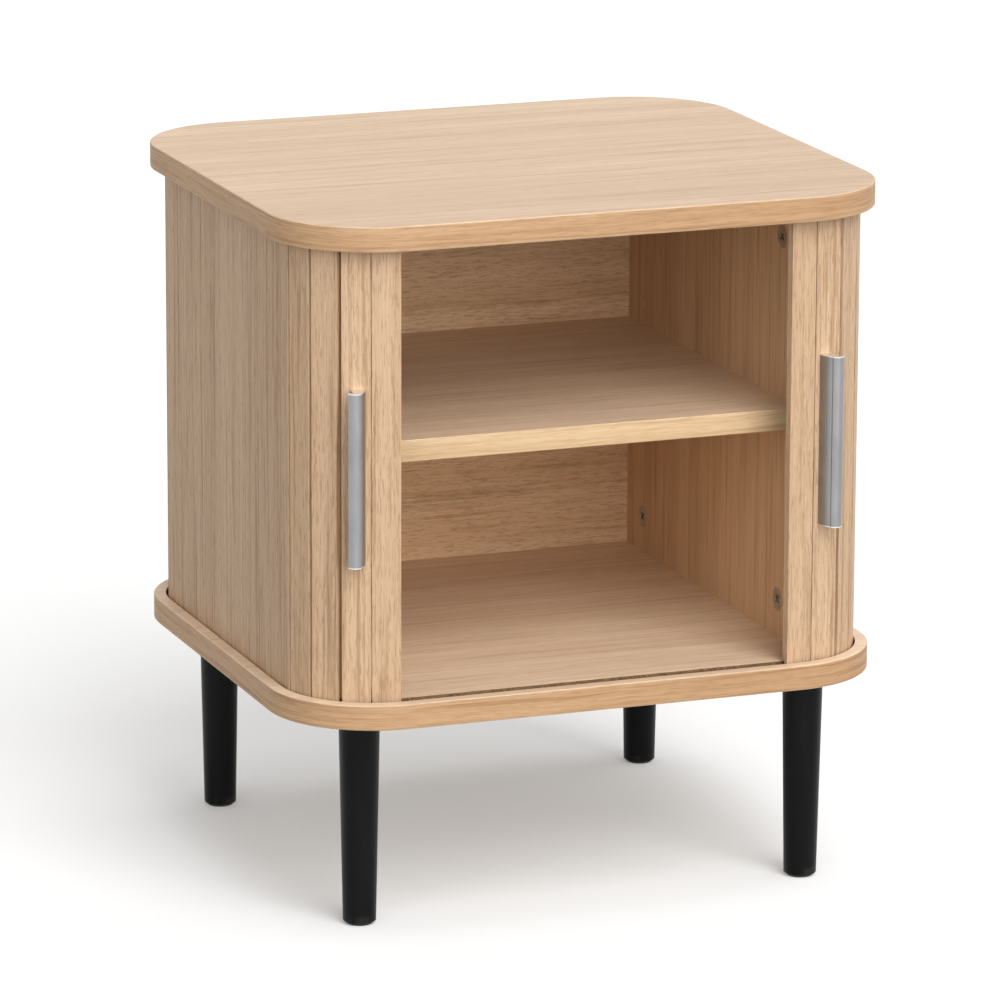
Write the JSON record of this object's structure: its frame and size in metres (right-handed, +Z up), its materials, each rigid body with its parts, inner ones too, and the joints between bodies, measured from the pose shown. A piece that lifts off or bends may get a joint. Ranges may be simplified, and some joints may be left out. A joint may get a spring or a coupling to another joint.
{
  "type": "nightstand",
  "caption": "Rounded bedside cabinet with two sliding tambour doors of upright slats, a fixed shelf and tapered legs.",
  "frame": {"origin": "on the floor, under the middle of the cabinet", "axes": "+X to the right seen from the front, +Y from the front to the back, +Z up"},
  "size_m": [0.4, 0.36, 0.452],
  "materials": {
    "oak": "matt lacquered light oak",
    "black_lacquer": "satin black lacquer",
    "aluminium": "satin anodised",
    "zinc": "zinc-plated steel",
    "beech": "raw beech",
    "nylon": "matt black nylon"
  },
  "bodies": {
    "carcase": {"top_panel": "oak", "bottom_panel": "oak", "left_inner_side": "oak", "right_inner_side": "oak", "shelf": "oak", "back_panel": "oak", "cam_locks": "zinc", "cam_bolts": "zinc", "dowels": "beech", "shelf_screws": "zinc", "back_panel_nails": "zinc", "front_left_leg": "black_lacquer", "front_right_leg": "black_lacquer", "rear_left_leg": "black_lacquer", "rear_right_leg": "black_lacquer", "hanger_bolts": "zinc", "threaded_inserts": "zinc", "leg_glides": "nylon"},
    "left_side_run": {"left_side_slats": "oak"},
    "left_lead_pair": {"left_lead_slat": "oak", "left_pull_slat": "oak", "left_pull": "aluminium", "left_pull_screws": "zinc"},
    "left_slat_03": {"left_slat_03": "oak"},
    "left_slat_04": {"left_slat_04": "oak"},
    "left_slat_05": {"left_slat_05": "oak"},
    "left_slat_06": {"left_slat_06": "oak"},
    "left_slat_07": {"left_slat_07": "oak"},
    "left_slat_17": {"left_slat_17": "oak"},
    "left_slat_18": {"left_slat_18": "oak"},
    "left_slat_19": {"left_slat_19": "oak"},
    "left_slat_20": {"left_slat_20": "oak"},
    "left_slat_21": {"left_slat_21": "oak"},
    "left_slat_22": {"left_slat_22": "oak"},
    "left_slat_23": {"left_slat_23": "oak"},
    "left_slat_24": {"left_slat_24": "oak"},
    "right_side_run": {"right_side_slats": "oak"},
    "right_lead_pair": {"right_lead_slat": "oak", "right_pull_slat": "oak", "right_pull": "aluminium", "right_pull_screws": "zinc"},
    "right_slat_03": {"right_slat_03": "oak"},
    "right_slat_04": {"right_slat_04": "oak"},
    "right_slat_05": {"right_slat_05": "oak"},
    "right_slat_06": {"right_slat_06": "oak"},
    "right_slat_07": {"right_slat_07": "oak"},
    "right_slat_17": {"right_slat_17": "oak"},
    "right_slat_18": {"right_slat_18": "oak"},
    "right_slat_19": {"right_slat_19": "oak"},
    "right_slat_20": {"right_slat_20": "oak"},
    "right_slat_21": {"right_slat_21": "oak"},
    "right_slat_22": {"right_slat_22": "oak"},
    "right_slat_23": {"right_slat_23": "oak"},
    "right_slat_24": {"right_slat_24": "oak"}
  },
  "joints": [
    {"name": "left_door_slide", "type": "slide", "parent": "carcase", "child": "left_side_run", "axis": [0, -1, 0], "range_m": [-0.004, 0.0425]},
    {"name": "left_lead_pair_turn", "type": "hinge", "parent": "carcase", "child": "left_lead_pair", "pos_m": [-0.11806, -0.07123, 0.2935], "axis": [0, 0, 1], "range_deg": [-2.41, 25.43]},
    {"name": "left_slat_03_turn", "type": "hinge", "parent": "carcase", "child": "left_slat_03", "pos_m": [-0.13142, -0.11108, 0.2935], "axis": [0, 0, 1], "range_deg": [-4.25, 44.98]},
    {"name": "left_slat_04_turn", "type": "hinge", "parent": "carcase", "child": "left_slat_04", "pos_m": [-0.13212, -0.11209, 0.2935], "axis": [0, 0, 1], "range_deg": [-4.33, 45.86]},
    {"name": "left_slat_05_turn", "type": "hinge", "parent": "carcase", "child": "left_slat_05", "pos_m": [-0.12886, -0.11012, 0.2935], "axis": [0, 0, 1], "range_deg": [-4.04, 42.76]},
    {"name": "left_slat_06_turn", "type": "hinge", "parent": "carcase", "child": "left_slat_06", "pos_m": [-0.0722, -0.09851, 0.2935], "axis": [0, 0, 1], "range_deg": [-2.03, 21.41]},
    {"name": "left_slat_07_turn", "type": "hinge", "parent": "carcase", "child": "left_slat_07", "pos_m": [0.54587, -0.08043, 0.2935], "axis": [0, 0, 1], "range_deg": [-0.34, 3.36]},
    {"name": "left_slat_17_turn", "type": "hinge", "parent": "carcase", "child": "left_slat_17", "pos_m": [0.75962, 0.08434, 0.2935], "axis": [0, 0, 1], "range_deg": [-0.26, 2.61]},
    {"name": "left_slat_18_turn", "type": "hinge", "parent": "carcase", "child": "left_slat_18", "pos_m": [-0.08162, 0.10208, 0.2935], "axis": [0, 0, 1], "range_deg": [-2.21, 23.32]},
    {"name": "left_slat_19_turn", "type": "hinge", "parent": "carcase", "child": "left_slat_19", "pos_m": [-0.12627, 0.10889, 0.2935], "axis": [0, 0, 1], "range_deg": [-3.87, 40.87]},
    {"name": "left_slat_20_turn", "type": "hinge", "parent": "carcase", "child": "left_slat_20", "pos_m": [-0.13198, 0.11197, 0.2935], "axis": [0, 0, 1], "range_deg": [-4.33, 45.86]},
    {"name": "left_slat_21_turn", "type": "hinge", "parent": "carcase", "child": "left_slat_21", "pos_m": [-0.13204, 0.11203, 0.2935], "axis": [0, 0, 1], "range_deg": [-4.33, 45.83]},
    {"name": "left_slat_22_turn", "type": "hinge", "parent": "carcase", "child": "left_slat_22", "pos_m": [-0.12643, 0.09818, 0.2935], "axis": [0, 0, 1], "range_deg": [-3.41, 36.04]},
    {"name": "left_slat_23_turn", "type": "hinge", "parent": "carcase", "child": "left_slat_23", "pos_m": [-0.11103, -0.03396, 0.2935], "axis": [0, 0, 1], "range_deg": [-1.18, 12.34]},
    {"name": "left_slat_24_turn", "type": "hinge", "parent": "carcase", "child": "left_slat_24", "pos_m": [-0.0964, -3.36018, 0.2935], "axis": [0, 0, 1], "range_deg": [-0.086, 0.722]},
    {"name": "right_door_slide", "type": "slide", "parent": "carcase", "child": "right_side_run", "axis": [0, -1, 0], "range_m": [-0.006, 0.0355]},
    {"name": "right_lead_pair_turn", "type": "hinge", "parent": "carcase", "child": "right_lead_pair", "pos_m": [0.11012, -0.03295, 0.2935], "axis": [0, 0, 1], "range_deg": [-15.19, 2.58]},
    {"name": "right_slat_03_turn", "type": "hinge", "parent": "carcase", "child": "right_slat_03", "pos_m": [0.13129, -0.11064, 0.2935], "axis": [0, 0, 1], "range_deg": [-37.32, 6.32]},
    {"name": "right_slat_04_turn", "type": "hinge", "parent": "carcase", "child": "right_slat_04", "pos_m": [0.13204, -0.11207, 0.2935], "axis": [0, 0, 1], "range_deg": [-38.33, 6.5]},
    {"name": "right_slat_05_turn", "type": "hinge", "parent": "carcase", "child": "right_slat_05", "pos_m": [0.13192, -0.11192, 0.2935], "axis": [0, 0, 1], "range_deg": [-38.06, 6.45]},
    {"name": "right_slat_06_turn", "type": "hinge", "parent": "carcase", "child": "right_slat_06", "pos_m": [0.10442, -0.10397, 0.2935], "axis": [0, 0, 1], "range_deg": [-24.93, 4.23]},
    {"name": "right_slat_07_turn", "type": "hinge", "parent": "carcase", "child": "right_slat_07", "pos_m": [-0.27696, -0.08525, 0.2935], "axis": [0, 0, 1], "range_deg": [-4.43, 0.77]},
    {"name": "right_slat_17_turn", "type": "hinge", "parent": "carcase", "child": "right_slat_17", "pos_m": [-19.87132, 0.08423, 0.2935], "axis": [0, 0, 1], "range_deg": [-0.122, 0.037]},
    {"name": "right_slat_18_turn", "type": "hinge", "parent": "carcase", "child": "right_slat_18", "pos_m": [0.03309, 0.09702, 0.2935], "axis": [0, 0, 1], "range_deg": [-13.36, 2.27]},
    {"name": "right_slat_19_turn", "type": "hinge", "parent": "carcase", "child": "right_slat_19", "pos_m": [0.12246, 0.10801, 0.2935], "axis": [0, 0, 1], "range_deg": [-32.17, 5.46]},
    {"name": "right_slat_20_turn", "type": "hinge", "parent": "carcase", "child": "right_slat_20", "pos_m": [0.13199, 0.11197, 0.2935], "axis": [0, 0, 1], "range_deg": [-38.35, 6.5]},
    {"name": "right_slat_21_turn", "type": "hinge", "parent": "carcase", "child": "right_slat_21", "pos_m": [0.13202, 0.11199, 0.2935], "axis": [0, 0, 1], "range_deg": [-38.35, 6.5]},
    {"name": "right_slat_22_turn", "type": "hinge", "parent": "carcase", "child": "right_slat_22", "pos_m": [0.12995, 0.1078, 0.2935], "axis": [0, 0, 1], "range_deg": [-35.27, 5.98]},
    {"name": "right_slat_23_turn", "type": "hinge", "parent": "carcase", "child": "right_slat_23", "pos_m": [0.1182, 0.03134, 0.2935], "axis": [0, 0, 1], "range_deg": [-15.31, 2.6]},
    {"name": "right_slat_24_turn", "type": "hinge", "parent": "carcase", "child": "right_slat_24", "pos_m": [0.10048, -1.78083, 0.2935], "axis": [0, 0, 1], "range_deg": [-1.08, 0.2]}
  ],
  "couplings": [
    {"joint": "left_lead_pair_turn", "follows": "left_door_slide", "rad_per_m": 10.437},
    {"joint": "left_slat_03_turn", "follows": "left_door_slide", "rad_per_m": 18.463},
    {"joint": "left_slat_04_turn", "follows": "left_door_slide", "rad_per_m": 18.823},
    {"joint": "left_slat_05_turn", "follows": "left_door_slide", "rad_per_m": 17.551},
    {"joint": "left_slat_06_turn", "follows": "left_door_slide", "rad_per_m": 8.7858},
    {"joint": "left_slat_07_turn", "follows": "left_door_slide", "rad_per_m": 1.3727},
    {"joint": "left_slat_17_turn", "follows": "left_door_slide", "rad_per_m": 1.0626},
    {"joint": "left_slat_18_turn", "follows": "left_door_slide", "rad_per_m": 9.5691},
    {"joint": "left_slat_19_turn", "follows": "left_door_slide", "rad_per_m": 16.775},
    {"joint": "left_slat_20_turn", "follows": "left_door_slide", "rad_per_m": 18.826},
    {"joint": "left_slat_21_turn", "follows": "left_door_slide", "rad_per_m": 18.81},
    {"joint": "left_slat_22_turn", "follows": "left_door_slide", "rad_per_m": 14.791},
    {"joint": "left_slat_23_turn", "follows": "left_door_slide", "rad_per_m": 5.0606},
    {"joint": "left_slat_24_turn", "follows": "left_door_slide", "rad_per_m": 0.28836},
    {"joint": "right_lead_pair_turn", "follows": "right_door_slide", "rad_per_m": -7.4592},
    {"joint": "right_slat_03_turn", "follows": "right_door_slide", "rad_per_m": -18.337},
    {"joint": "right_slat_04_turn", "follows": "right_door_slide", "rad_per_m": -18.837},
    {"joint": "right_slat_05_turn", "follows": "right_door_slide", "rad_per_m": -18.702},
    {"joint": "right_slat_06_turn", "follows": "right_door_slide", "rad_per_m": -12.247},
    {"joint": "right_slat_07_turn", "follows": "right_door_slide", "rad_per_m": -2.1698},
    {"joint": "right_slat_17_turn", "follows": "right_door_slide", "rad_per_m": -0.05024},
    {"joint": "right_slat_18_turn", "follows": "right_door_slide", "rad_per_m": -6.5582},
    {"joint": "right_slat_19_turn", "follows": "right_door_slide", "rad_per_m": -15.809},
    {"joint": "right_slat_20_turn", "follows": "right_door_slide", "rad_per_m": -18.845},
    {"joint": "right_slat_21_turn", "follows": "right_door_slide", "rad_per_m": -18.843},
    {"joint": "right_slat_22_turn", "follows": "right_door_slide", "rad_per_m": -17.33},
    {"joint": "right_slat_23_turn", "follows": "right_door_slide", "rad_per_m": -7.5158},
    {"joint": "right_slat_24_turn", "follows": "right_door_slide", "rad_per_m": -0.5231}
  ]
}
